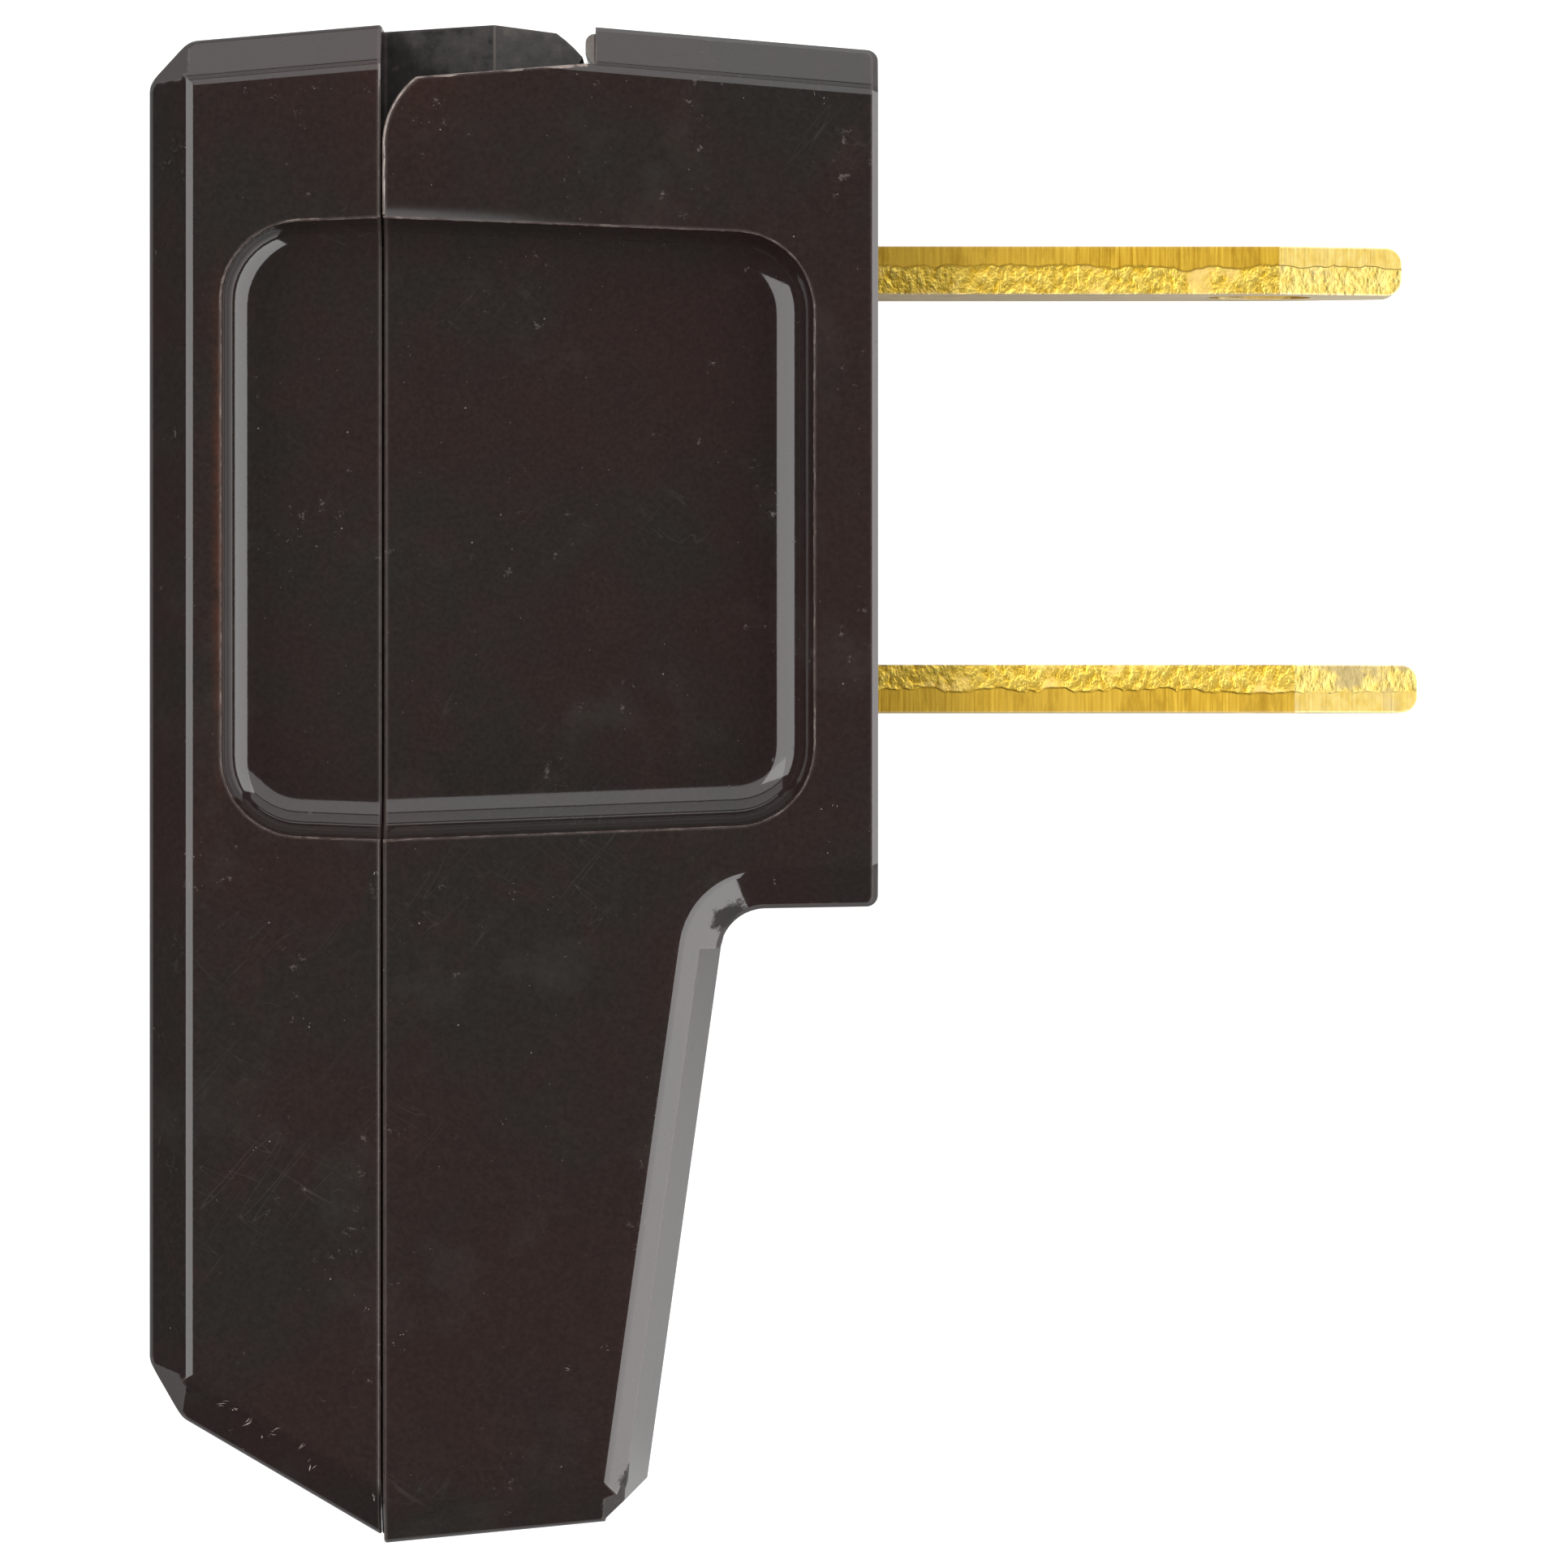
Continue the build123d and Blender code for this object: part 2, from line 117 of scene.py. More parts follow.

# Dark strip put inside the parting line as a painted shadow that hides the gap: it dips into the grip and
# follows the toe
PARTING_SHADOW_STRIP = [
    Vector((-14.865, y, z)) * MM
    for y, z in (
        (9.80, 8.75), (7.92, 8.75), (7.71, 8.07), (7.15, 7.49), (6.36, 7.28), (-9.57, 7.28),
        (-10.36, 7.49), (-10.92, 8.07), (-11.13, 8.75), (-30.40, 8.72), (-31.75, 7.40),
    )
]

# Mould flash: step along an edge, waves and teeth to the millimetre, and how deep it is rooted in the face
ARC_STEPS = 16
FLASH_STEP = 0.1 * MM
FLASH_WAVES = 0.7
FLASH_TEETH = 9
FLASH_SHIFT = 50
TEETH_SHARE = 0.25
OCTAVE_FALL = 0.8
OCTAVE_STEP = 2.0
OCTAVES = 4
FLASH_SUNK = 0.02 * MM
FLASH_ROOT = 0.02 * MM
ROOT_SUNK = 0.05 * MM

# How the fins' width and height follow the noise, and where across a fin its crest is
SPREAD_LEAST = 0.25
SPREAD_MEAN = 0.75
SPREAD_SWING = 0.8
RISE_MEAN = 0.12
RISE_SWING = 1.6
CREST_PLACE = 0.3

# Width and height of the fins of flash
GRIP_FIN = (0.06 * MM, 0.020 * MM)
CHEEK_FIN = (0.08 * MM, 0.030 * MM)
# The dark strip in the parting line is a painted shadow
SHADOW_STRIP_FIN = (0.012 * MM, 0.01 * MM)
SHADOW_STRIP_ROOT = 0.08 * MM

# Slivers at a nick: their number, and in millimetres and degrees how they differ
NICK_SLIVERS = 3
NICK_DRIFT = 0.12
FAR_DRIFT = 0.6
NICK_TURN = 25
NICK_SHARE = (0.15, 0.4)
NICK_THICK = (0.008, 0.024)
NICK_BEND = 0.04
NICK_RISE = 0.012 * MM
NICK_RIM_SUNK = 0.01 * MM
NICK_ROOT_SUNK = 0.03 * MM

# Nicks on the near side: middle and length in millimetres, and direction in degrees
COVER_NICKS = (
    (-19.57, -27.76, 0.42, 20), (-18.80, -28.29, 0.50, 35), (-18.03, -28.66, 0.34, 10),
    (-17.32, -29.15, 0.46, 30), (-16.93, -29.61, 0.30, 60), (-18.35, -28.75, 0.20, 80),
    (-19.20, -28.05, 0.18, -20), (-15.20, -30.60, 0.22, 85), (-15.05, -12.00, 0.55, 88),
    (-18.60, -20.10, 0.16, 15), (-17.10, -16.30, 0.14, 40), (-15.30, -24.90, 0.18, 75),
)
BODY_NICKS = (
    (-1.85, 11.55, 0.55, 80), (-1.60, 11.20, 0.30, 60), (-13.42, 11.05, 0.10, 0), (-13.25, 11.00, 0.09, 30),
    (-13.05, 11.10, 0.10, 0), (-13.55, 10.60, 0.14, 10), (-9.30, -26.70, 0.75, 8), (-8.20, -26.20, 0.35, 20),
    (-14.45, -25.95, 0.20, 70), (-14.30, -26.25, 0.16, -40), (-14.20, -25.70, 0.14, 20),
    (-10.95, -12.60, 0.20, 35), (-5.60, 9.20, 0.16, 10), (-11.20, -19.40, 0.15, 50),
    (-3.10, -12.20, 0.12, 0), (-1.30, -9.90, 0.20, 75),
)

# Blades: their inner faces, and where shearing turned to fracture on their cut edges
BLADE_INNER = 5.625 * MM
BREAK_LINE = 6.43 * MM
BREAK_BORDER = 0.015 * MM
SCALLOP = 0.07 * MM
WANDER = 0.09 * MM

# Range that holds most values of a noise
NOISE_RANGE = (0.3, 0.7)


class Shader:
    """A material built node by node. An input is a number, a colour or another node's output."""

    def __init__(self, name):
        self.material = bpy.data.materials.new(name)
        self.material.use_nodes = True
        self.tree = self.material.node_tree
        self.tree.nodes.clear()
        spot = self.add("ShaderNodeTexCoord")
        self.place = spot.outputs["Object"]
        self.facing = spot.outputs["Normal"]

    def add(self, kind, inputs=None, **settings):
        """Adds a node of this kind with these inputs and settings."""
        node = self.tree.nodes.new(kind)
        for name, value in settings.items():
            setattr(node, name, value)
        for name, value in (inputs or {}).items():
            if isinstance(value, bpy.types.NodeSocket):
                self.tree.links.new(value, node.inputs[name])
            else:
                node.inputs[name].default_value = value
        return node

    def parts(self, vector):
        """The x, y and z of a vector."""
        return self.add("ShaderNodeSeparateXYZ", {"Vector": vector}).outputs

    def noise(self, scale, detail=2.0, roughness=0.5, place=None):
        """Soft noise from 0 to 1 with this many waves to the metre."""
        inputs = {"Vector": place or self.place, "Scale": scale, "Detail": detail, "Roughness": roughness}
        return self.add("ShaderNodeTexNoise", inputs).outputs["Fac"]

    def streaks(self, x, y, z, turn=0.0, detail=2.0, roughness=0.5):
        """Soft noise with this many waves to the metre along each axis, turned about Z."""
        inputs = {"Vector": self.place, "Rotation": (0.0, 0.0, turn), "Scale": (1 / x, 1 / y, 1 / z)}
        stretched = self.add("ShaderNodeMapping", inputs, vector_type="TEXTURE").outputs["Vector"]
        return self.noise(1.0, detail, roughness, stretched)

    def ramp(self, value, start, end, low=0.0, high=1.0):
        """Takes start to low and end to high, and holds them beyond."""
        inputs = {"Value": value, "From Min": start, "From Max": end, "To Min": low, "To Max": high}
        return self.add("ShaderNodeMapRange", inputs).outputs["Result"]

    def spread(self, value, low=0.0, high=1.0):
        """Takes the range that holds most of a noise to these ends."""
        return self.ramp(value, *NOISE_RANGE, low, high)

    def pick(self, mask, low, high):
        """Goes from low where the mask is 0 to high where it is 1."""
        return self.ramp(mask, 0.0, 1.0, low, high)

    def math(self, operation, first, second=0.0):
        """The result of a calculation with one or two values."""
        return self.add("ShaderNodeMath", {0: first, 1: second}, operation=operation).outputs[0]

    def both(self, first, *others):
        """The product of masks."""
        for other in others:
            first = self.math("MULTIPLY", first, other)
        return first

    def inverse(self, mask):
        """1 where the mask is 0, and 0 where it is 1."""
        return self.math("SUBTRACT", 1.0, mask)

    def apart(self, first, second):
        """How far two values are apart."""
        return self.math("ABSOLUTE", self.math("SUBTRACT", first, second))

    def distance(self, spot):
        """How far the place on the part is from a spot."""
        node = self.add("ShaderNodeVectorMath", {0: self.place, 1: spot}, operation="DISTANCE")
        return node.outputs["Value"]

    def mix(self, factor, first, second, kind="MIX"):
        """Goes from the first colour to the second."""
        inputs = {"Factor": factor, 6: first, 7: second}
        return self.add("ShaderNodeMix", inputs, data_type="RGBA", blend_type=kind).outputs[2]

    def mix_values(self, factor, first, second):
        """Goes from the first number to the second."""
        inputs = {"Factor": factor, 2: first, 3: second}
        return self.add("ShaderNodeMix", inputs, data_type="FLOAT").outputs[0]

    def specks(self, scale, radius):
        """1 in round specks of this radius, with this many cells to the metre that may hold one."""
        cells = self.add("ShaderNodeTexVoronoi", {"Vector": self.place, "Scale": scale})
        return self.ramp(cells.outputs["Distance"], radius * scale, 0.5 * radius * scale)

    def hairs(self, long, fine, turn, width):
        """1 along thin wavering lines that run this way, for hairline scratches."""
        streaks = self.streaks(long, fine, fine, turn, detail=1.0)
        return self.ramp(self.apart(streaks, 0.5), width, 0.3 * width)

    def edges(self, reach):
        """From 0 on open faces to about 0.3 at a square edge, over this distance from the edge."""
        softened = self.add("ShaderNodeBevel", {"Radius": reach}, samples=2).outputs["Normal"]
        flat = self.add("ShaderNodeNewGeometry").outputs["Normal"]
        alike = self.add("ShaderNodeVectorMath", {0: softened, 1: flat}, operation="DOT_PRODUCT")
        return self.inverse(alike.outputs["Value"])

    def bump(self, height, depth, under=None):
        """A normal that shows this height, which is depth metres where it is 1, over an earlier one."""
        inputs = {"Height": height, "Distance": depth, "Strength": 1.0}
        if under:
            inputs["Normal"] = under
        return self.add("ShaderNodeBump", inputs).outputs["Normal"]

    def finish(self, **inputs):
        """Ends in a Principled shader, with its inputs named with underscores for spaces."""
        inputs = {name.replace("_", " "): value for name, value in inputs.items()}
        shader = self.add("ShaderNodeBsdfPrincipled", inputs)
        output = self.add("ShaderNodeOutputMaterial")
        self.tree.links.new(shader.outputs["BSDF"], output.inputs["Surface"])
        return self.material


def colour(red, green, blue):
    """A colour for a socket, from linear values."""
    return (red, green, blue, 1.0)


# Colours of the moulding compound and of what lies on it, of rubbed edges with painted edge highlights, of
# darker spots and of the painted reflection on the lip
COMPOUND_RED = colour(0.0197, 0.0115, 0.0105)
COMPOUND_OLIVE = colour(0.0155, 0.0132, 0.0114)
COMPOUND_MOTTLE = colour(0.0216, 0.0128, 0.0116)
CHEEK_RED = colour(0.0245, 0.0125, 0.0108)
THIN_RED = colour(0.055, 0.020, 0.0125)
HAZE = colour(0.034, 0.032, 0.028)
DUST = colour(0.15, 0.14, 0.125)
SCRATCH = colour(0.055, 0.050, 0.046)
# Rubbed edges, painted pale partly as edge highlights
WEAR_HIGHLIGHT_DARK = colour(0.045, 0.033, 0.029)
WEAR_HIGHLIGHT_PALE = colour(0.130, 0.106, 0.096)
# Colour of the darker, duller spots on the leg
DARK_SPOT_COLOUR = colour(0.012, 0.010, 0.009)
# Painted reflection on the lip that the tongue rubs on, from dark to pale
LIP_REFLECTION_DARK = colour(0.135, 0.105, 0.092)
LIP_REFLECTION_PALE = colour(0.27, 0.245, 0.225)

# Colours of the tongue's skin, with a painted sheen, a painted ridge highlight and rubbed edges with painted
# edge highlights
SKIN = colour(0.020, 0.018, 0.017)
SKIN_SHEEN = colour(0.042, 0.0385, 0.0375)
SKIN_NOSE = colour(0.031, 0.0275, 0.0255)
SKIN_STAIN = colour(0.011, 0.0095, 0.0085)
SKIN_SCUFF = colour(0.085, 0.073, 0.064)
# Painted highlight along the tongue's ridge
SKIN_RIDGE_HIGHLIGHT = colour(0.095, 0.082, 0.073)
SKIN_WEAR_HIGHLIGHT = colour(0.100, 0.088, 0.078)

# Where the compound is redder: along X on each half, up Y on both, and in the thin wall beside the grip
COVER_RED_SPAN = (-16.4 * MM, -15.0 * MM)
BODY_RED_SPAN = (-9.5 * MM, -13.5 * MM)
RED_RISE = (9.8 * MM, 12.0 * MM)
THIN_OUTSIDE = (GRIP_BACK - 0.42 * MM, GRIP_BACK - 0.03 * MM)
THIN_INSIDE = (GRIP_BACK + 0.1 * MM, GRIP_BACK)
THIN_HALF = (9.5 * MM, 5.0 * MM)

# Surface of the compound
PLASTIC_IOR = 1.52
HAZE_SHARE = 0.34
COARSE_DUST = 0.03 * MM
FINE_DUST = 0.018 * MM
WEAR_REACH = 0.14 * MM
RIPPLE_DEPTH = 0.0045 * MM
PIT_DEPTH = 0.0012 * MM
SOFT_BORDER = 0.03 * MM

# Swelling of the face above the grip's upper rim on the body, and how it fades along X
SWELL_REACH = 0.42 * MM
SWELL_DEPTH = 0.040 * MM
SWELL_FADE = (-14.0 * MM, -9.0 * MM)
DULL_REACH = (0.55 * MM, 0.2 * MM)
DULL_FADE = (-12.0 * MM, -8.0 * MM)

# Darker, duller spots on the near side of the leg, in its armpit and at its toe: middle and reach
DARK_SPOTS = (
    (Vector((-4.50, -13.25, 8.1)) * MM, 0.60 * MM),
    (Vector((-7.35, -30.05, 8.2)) * MM, 0.50 * MM),
)


def compound(shader, cloud, mottle, x, y, red_span):
    """Colour of the moulding compound, from reddish to olive, with a fine grain."""
    base = shader.mix(shader.ramp(cloud, 0.36, 0.64), COMPOUND_RED, COMPOUND_OLIVE)
    base = shader.mix(shader.ramp(mottle, 0.5, 0.8), base, COMPOUND_MOTTLE)
    # Redder at the cheeks and at the cover's corner beside them
    red = shader.both(
        shader.ramp(x, *red_span), shader.ramp(y, *RED_RISE), shader.ramp(cloud, 0.3, 0.6, 0.95, 0.55)
    )
    base = shader.mix(red, base, CHEEK_RED)
    # Reddest where the compound is thin beside the grip
    thin = shader.both(
        shader.ramp(x, *THIN_OUTSIDE),
        shader.ramp(x, *THIN_INSIDE),
        shader.ramp(shader.apart(y, GRIP_MIDDLE), *THIN_HALF),
    )
    thin = shader.both(thin, thin, shader.ramp(mottle, 0.35, 0.6, 0.3, 1.0))
    base = shader.mix(thin, base, THIN_RED)
    grain = shader.noise(7500, detail=2.0)
    return shader.mix(1.0, base, shader.spread(grain, 0.75, 1.03), kind="MULTIPLY")


def add_tongue_skin(shader, wear_and_highlight, x, z, base, roughness):
    """The tongue has a duller, greyer skin, stained and scuffed, with a round painted sheen on its side, a
    painted highlight along its ridge, and rubbed edges painted pale as edge highlights.
    """
    tongue = shader.both(
        shader.ramp(x, TONGUE_START - TONGUE_GAP - SOFT_BORDER, TONGUE_START - TONGUE_GAP),
        shader.ramp(shader.math("ABSOLUTE", z), TONGUE_HALF, TONGUE_HALF - TONGUE_SIDE),
    )
    nose = shader.ramp(x, TONGUE_RIDGE - RIDGE_CORE, TONGUE_RIDGE + RIDGE_CORE)
    # A round patch of the tongue's side is painted lighter as a sheen
    sheen = shader.ramp(shader.distance(TONGUE_SHEEN), SHEEN_RADIUS + SHEEN_OUTSIDE, SHEEN_RADIUS - SHEEN_INSIDE)
    # A line along the ridge is painted light as a highlight
    ridge_highlight = shader.ramp(shader.apart(x, TONGUE_RIDGE), RIDGE_HALF, RIDGE_CORE)
    rough_skin = shader.noise(2100, detail=6.0, roughness=0.68)
    skin = shader.mix(sheen, SKIN, SKIN_SHEEN)
    skin = shader.mix(nose, skin, SKIN_NOSE)
    skin = shader.mix(shader.ramp(rough_skin, 0.50, 0.36, 0.0, 0.75), skin, SKIN_STAIN)
    skin = shader.mix(shader.ramp(rough_skin, 0.54, 0.72, 0.0, 0.6), skin, SKIN_SCUFF)
    skin = shader.mix(shader.both(ridge_highlight, 0.8), skin, SKIN_RIDGE_HIGHLIGHT)
    skin = shader.mix(shader.both(wear_and_highlight, 0.8), skin, SKIN_WEAR_HIGHLIGHT)
    dull = shader.both(tongue, shader.pick(nose, 0.22, 0.42))
    return shader.mix(tongue, base, skin), shader.math("MAXIMUM", roughness, dull)


def add_painted_lip_reflection(shader, mottle, x, y, z, base):
    """The lip that the tongue rubs on is painted bright, as a painted reflection."""
    lip_reflection = shader.both(
        shader.ramp(x, LIP_END, LIP_END - SOFT_BORDER),
        shader.ramp(y, LIP_FOOT, LIP_FOOT + SOFT_BORDER),
        shader.ramp(shader.math("ABSOLUTE", z), TONGUE_HALF + LIP_SIDE, TONGUE_HALF),
    )
    return shader.mix(lip_reflection, base, shader.mix(shader.ramp(mottle, 0.36, 0.60), LIP_REFLECTION_DARK, LIP_REFLECTION_PALE))


def add_swell(shader, x, y, roughness, relief):
    """The body's side face swells and is duller just above the grip, most of all near the parting line."""
    fall = shader.both(shader.math("SUBTRACT", x, TONGUE_START), GRIP_FALL)
    above = shader.math("SUBTRACT", y, shader.math("SUBTRACT", GRIP_TOP, fall))
    swell = shader.ramp(above, SWELL_REACH, 0.0)
    swell = shader.both(swell, swell, shader.ramp(x, *SWELL_FADE, 1.0, 0.3))
    dull = shader.both(
        shader.ramp(above, *DULL_REACH),
        shader.ramp(above, 0.0, SOFT_BORDER),
        shader.ramp(x, *DULL_FADE, 1.0, 0.0),
    )
    roughness = shader.math("ADD", roughness, shader.both(dull, 0.18))
    return roughness, shader.bump(swell, SWELL_DEPTH, relief)


def add_dark_spots(shader, ragged, base, roughness):
    """Darkens the colour and dulls the gloss in spots with ragged rims."""
    for spot, reach in DARK_SPOTS:
        near = shader.math("ADD", shader.distance(spot), shader.spread(ragged, 0.5 * reach, -0.5 * reach))
        dark_spot = shader.ramp(near, reach, 0.6 * reach)
        base = shader.mix(dark_spot, base, DARK_SPOT_COLOUR)
        roughness = shader.math("ADD", roughness, shader.both(dark_spot, 0.9))
    return base, roughness


def housing_plastic(name, has_tongue):
    """Glossy dark-brown moulding compound, mottled, dusty and scratched, with its edges rubbed pale and
    painted paler still as edge highlights.
    """
    shader = Shader(name)
    x, y, z = shader.parts(shader.place)
    cloud = shader.noise(140, detail=3.0)
    mottle = shader.noise(620, detail=4.0, roughness=0.6)
    ragged = shader.noise(2300, detail=5.0, roughness=0.75)
    base = compound(shader, cloud, mottle, x, y, COVER_RED_SPAN if has_tongue else BODY_RED_SPAN)
    # Hazy smears and settled dust
    haze = shader.both(shader.ramp(shader.noise(230, detail=5.0, roughness=0.65), 0.56, 0.78), HAZE_SHARE)
    base = shader.mix(haze, base, HAZE)
    coarse_dust = shader.specks(950, COARSE_DUST)
    fine_dust = shader.both(shader.specks(1900, FINE_DUST), 0.7)
    base = shader.mix(shader.math("MAXIMUM", coarse_dust, fine_dust), base, DUST)
    # Hairline scratches in two directions, here and there
    scratches = shader.math(
        "MAXIMUM", shader.hairs(160, 1500, 0.9, 0.006), shader.hairs(210, 1800, -0.6, 0.005)
    )
    scratches = shader.both(scratches, shader.ramp(shader.noise(160, detail=3.0), 0.58, 0.70), 0.30)
    base = shader.mix(scratches, base, SCRATCH)
    # Edges that are rubbed and chipped to a pinkish grey, and painted paler as edge highlights
    wear_and_highlight = shader.math("ADD", shader.edges(WEAR_REACH), shader.spread(ragged, -0.12, 0.10))
    wear_and_highlight = shader.math("ADD", wear_and_highlight, shader.ramp(shader.noise(480, detail=2.0), 0.35, 0.65, -0.055, 0.04))
    wear_and_highlight = shader.ramp(wear_and_highlight, 0.095, 0.18)
    base = shader.mix(wear_and_highlight, base, shader.mix(ragged, WEAR_HIGHLIGHT_DARK, WEAR_HIGHLIGHT_PALE))
    roughness = shader.math("ADD", shader.ramp(haze, 0.0, HAZE_SHARE, 0.075, 0.16), shader.both(wear_and_highlight, 0.3))
    relief = shader.bump(shader.noise(520, detail=1.0), RIPPLE_DEPTH)
    if has_tongue:
        base, roughness = add_tongue_skin(shader, wear_and_highlight, x, z, base, roughness)
    else:
        # The lip is painted pale as a reflection
        base = add_painted_lip_reflection(shader, mottle, x, y, z, base)
        roughness, relief = add_swell(shader, x, y, roughness, relief)
        base, roughness = add_dark_spots(shader, ragged, base, roughness)
    pitted = shader.math("ADD", shader.noise(2600, detail=3.0), shader.both(wear_and_highlight, ragged, 6.0))
    relief = shader.bump(pitted, PIT_DEPTH, relief)
    return shader.finish(Base_Color=base, Roughness=roughness, IOR=PLASTIC_IOR, Normal=relief)


# Colours of the sheared band, of the painted shadow at the step below it, of the burr with its painted edge
# highlight and of the rolled faces
SHEAR_DARK = colour(0.50, 0.255, 0.012)
SHEAR_BRIGHT = colour(0.97, 0.65, 0.080)
SHEAR_PATCH = colour(0.71, 0.46, 0.070)
SHEAR_SMEAR = colour(0.40, 0.215, 0.016)
STEP_SHADOW = colour(0.27, 0.16, 0.014)
# Burr, painted pale partly as an edge highlight
BURR_HIGHLIGHT = colour(1.0, 0.88, 0.60)
FACE_DARK = colour(0.80, 0.60, 0.24)
FACE_BRIGHT = colour(0.93, 0.74, 0.36)
FACE_TARNISH = colour(0.58, 0.38, 0.13)

# Broken brass on the long edges and at the tips: two colours of lumps, then share and colour of tan and pits
BREAK_LUMPS = (colour(0.76, 0.46, 0.034), colour(0.98, 0.73, 0.15))
BREAK_MARKS = ((0.75, colour(0.68, 0.50, 0.19)), (0.6, colour(0.30, 0.17, 0.012)))
TIP_LUMPS = (colour(0.285, 0.210, 0.050), colour(0.37, 0.30, 0.115))
TIP_MARKS = ((0.8, colour(0.27, 0.225, 0.12)), (0.5, colour(0.16, 0.10, 0.02)))

# Surface of the brass
STEP_SHADOW_HALF = 0.055 * MM
STEP_SHADOW_CORE = 0.01 * MM
BURR_REACH = 0.10 * MM
STRIAE_DEPTH = 0.008 * MM
LUMP_DEPTH = 0.060 * MM
DRAWN_DEPTH = 0.0015 * MM
LOWER_LIT = 1.08
UPPER_LIT = 0.92
LOWER_TIP_LIT = 0.86


def sheared_brass(shader, striae):
    """Colour of the band that the punch sheared: fine striae, with dull patches and brown smears."""
    base = shader.mix(shader.spread(striae), SHEAR_DARK, SHEAR_BRIGHT)
    patches = shader.noise(210, detail=1.0)
    base = shader.mix(shader.ramp(patches, 0.38, 0.68, 0.0, 0.5), base, SHEAR_PATCH)
    smear = shader.streaks(1500, 420, 420, detail=4.0, roughness=0.7)
    return shader.mix(shader.ramp(smear, 0.50, 0.72, 0.0, 0.75), base, SHEAR_SMEAR)


def broken_brass(shader, lumps, masks, lump_colours, marks):
    """Colour of broken metal: lumpy, with a mark of its own share and colour in each mask."""
    base = shader.mix(shader.spread(lumps), *lump_colours)
    for mask, (share, mark) in zip(masks, marks):
        base = shader.mix(shader.both(mask, share), base, mark)
    return base


def blade_brass():
    """Stamped brass, with cut edges that are sheared and striated outside, and broken and grainy inside."""
    shader = Shader("blade_brass")
    y = shader.parts(shader.place)["Y"]
    facing = shader.parts(shader.facing)
    cut = shader.ramp(shader.math("ABSOLUTE", facing["Y"]), 0.7, 0.4)
    tip = shader.both(cut, shader.ramp(facing["X"], 0.15, 0.3))
    # A painted shadow along the step where shearing turned to fracture, which wavers and is scalloped
    scallop = shader.apart(shader.streaks(900, 60, 60), 0.5)
    wander = shader.streaks(170, 60, 60)
    waver = shader.math(
        "ADD",
        shader.ramp(scallop, 0.0, 0.2, -SCALLOP, SCALLOP),
        shader.ramp(wander, 0.25, 0.75, -WANDER, WANDER),
    )
    depth = shader.math("ADD", shader.math("ABSOLUTE", y), waver)
    sheared = shader.ramp(depth, BREAK_LINE - BREAK_BORDER, BREAK_LINE + BREAK_BORDER)
    # Band along the step that is painted dark as a shadow
    step = shader.ramp(shader.apart(depth, BREAK_LINE), STEP_SHADOW_HALF, STEP_SHADOW_CORE)
    step = shader.both(step, shader.pick(tip, 0.7, 0.1))
    # Cut edges: striae on the sheared side, lumps on the broken side and at the tips
    striae = shader.streaks(9000, 300, 300, detail=3.0, roughness=0.6)
    lumps = shader.streaks(4300, 2900, 2900, detail=4.0, roughness=0.55)
    tan = shader.ramp(shader.noise(330, detail=5.0, roughness=0.65), 0.53, 0.60)
    pits = shader.ramp(shader.noise(5200, detail=3.0, roughness=0.7), 0.36, 0.28)
    broken = broken_brass(shader, lumps, (tan, pits), BREAK_LUMPS, BREAK_MARKS)
    edge = shader.mix(sheared, broken, sheared_brass(shader, striae))
    edge = shader.mix(step, edge, STEP_SHADOW)
    broken_tip = broken_brass(shader, lumps, (tan, pits), TIP_LUMPS, TIP_MARKS)
    edge = shader.mix(shader.both(tip, 0.85), edge, broken_tip)
    # A thin cream burr where the faces meet the cut edges, painted paler as an edge highlight
    burr_highlight = shader.ramp(shader.edges(BURR_REACH), 0.05, 0.18)
    edge = shader.mix(shader.both(burr_highlight, 0.7), edge, BURR_HIGHLIGHT)
    # The lower blade is a little brighter than the upper one, apart from its tip
    lower_tip = shader.both(tip, shader.ramp(y, BLADE_INNER, -BLADE_INNER))
    lit = shader.ramp(y, -BLADE_INNER, BLADE_INNER, LOWER_LIT, UPPER_LIT)
    lit = shader.both(lit, shader.pick(lower_tip, 1.0, LOWER_TIP_LIT))
    edge = shader.mix(1.0, edge, lit, kind="MULTIPLY")
    # Rolled faces
    drawn = shader.streaks(130, 5200, 5200, detail=3.0, roughness=0.65)
    tarnish = shader.noise(330, detail=4.0, roughness=0.6)
    face = shader.mix(shader.spread(drawn), FACE_DARK, FACE_BRIGHT)
    face = shader.mix(shader.ramp(tarnish, 0.52, 0.78, 0.0, 0.8), face, FACE_TARNISH)
    rough_face = shader.spread(drawn, 0.22, 0.34)
    rough_edge = shader.pick(sheared, shader.pick(tan, 0.36, 0.60), 0.44)
    relief = shader.bump(shader.both(striae, cut, sheared), STRIAE_DEPTH)
    relief = shader.bump(shader.both(lumps, cut, shader.inverse(sheared)), LUMP_DEPTH, relief)
    relief = shader.bump(drawn, DRAWN_DEPTH, relief)
    return shader.finish(
        Base_Color=shader.mix(cut, face, edge),
        Metallic=1.0,
        Roughness=shader.mix_values(cut, rough_face, rough_edge),
        Normal=relief,
    )


# Mould flash
FLASH_DARK = colour(0.034, 0.018, 0.014)
FLASH_TINT = (1.0, 0.80, 0.72)
FLASH_FADE = 0.22
FLASH_DEPTH = 0.02 * MM


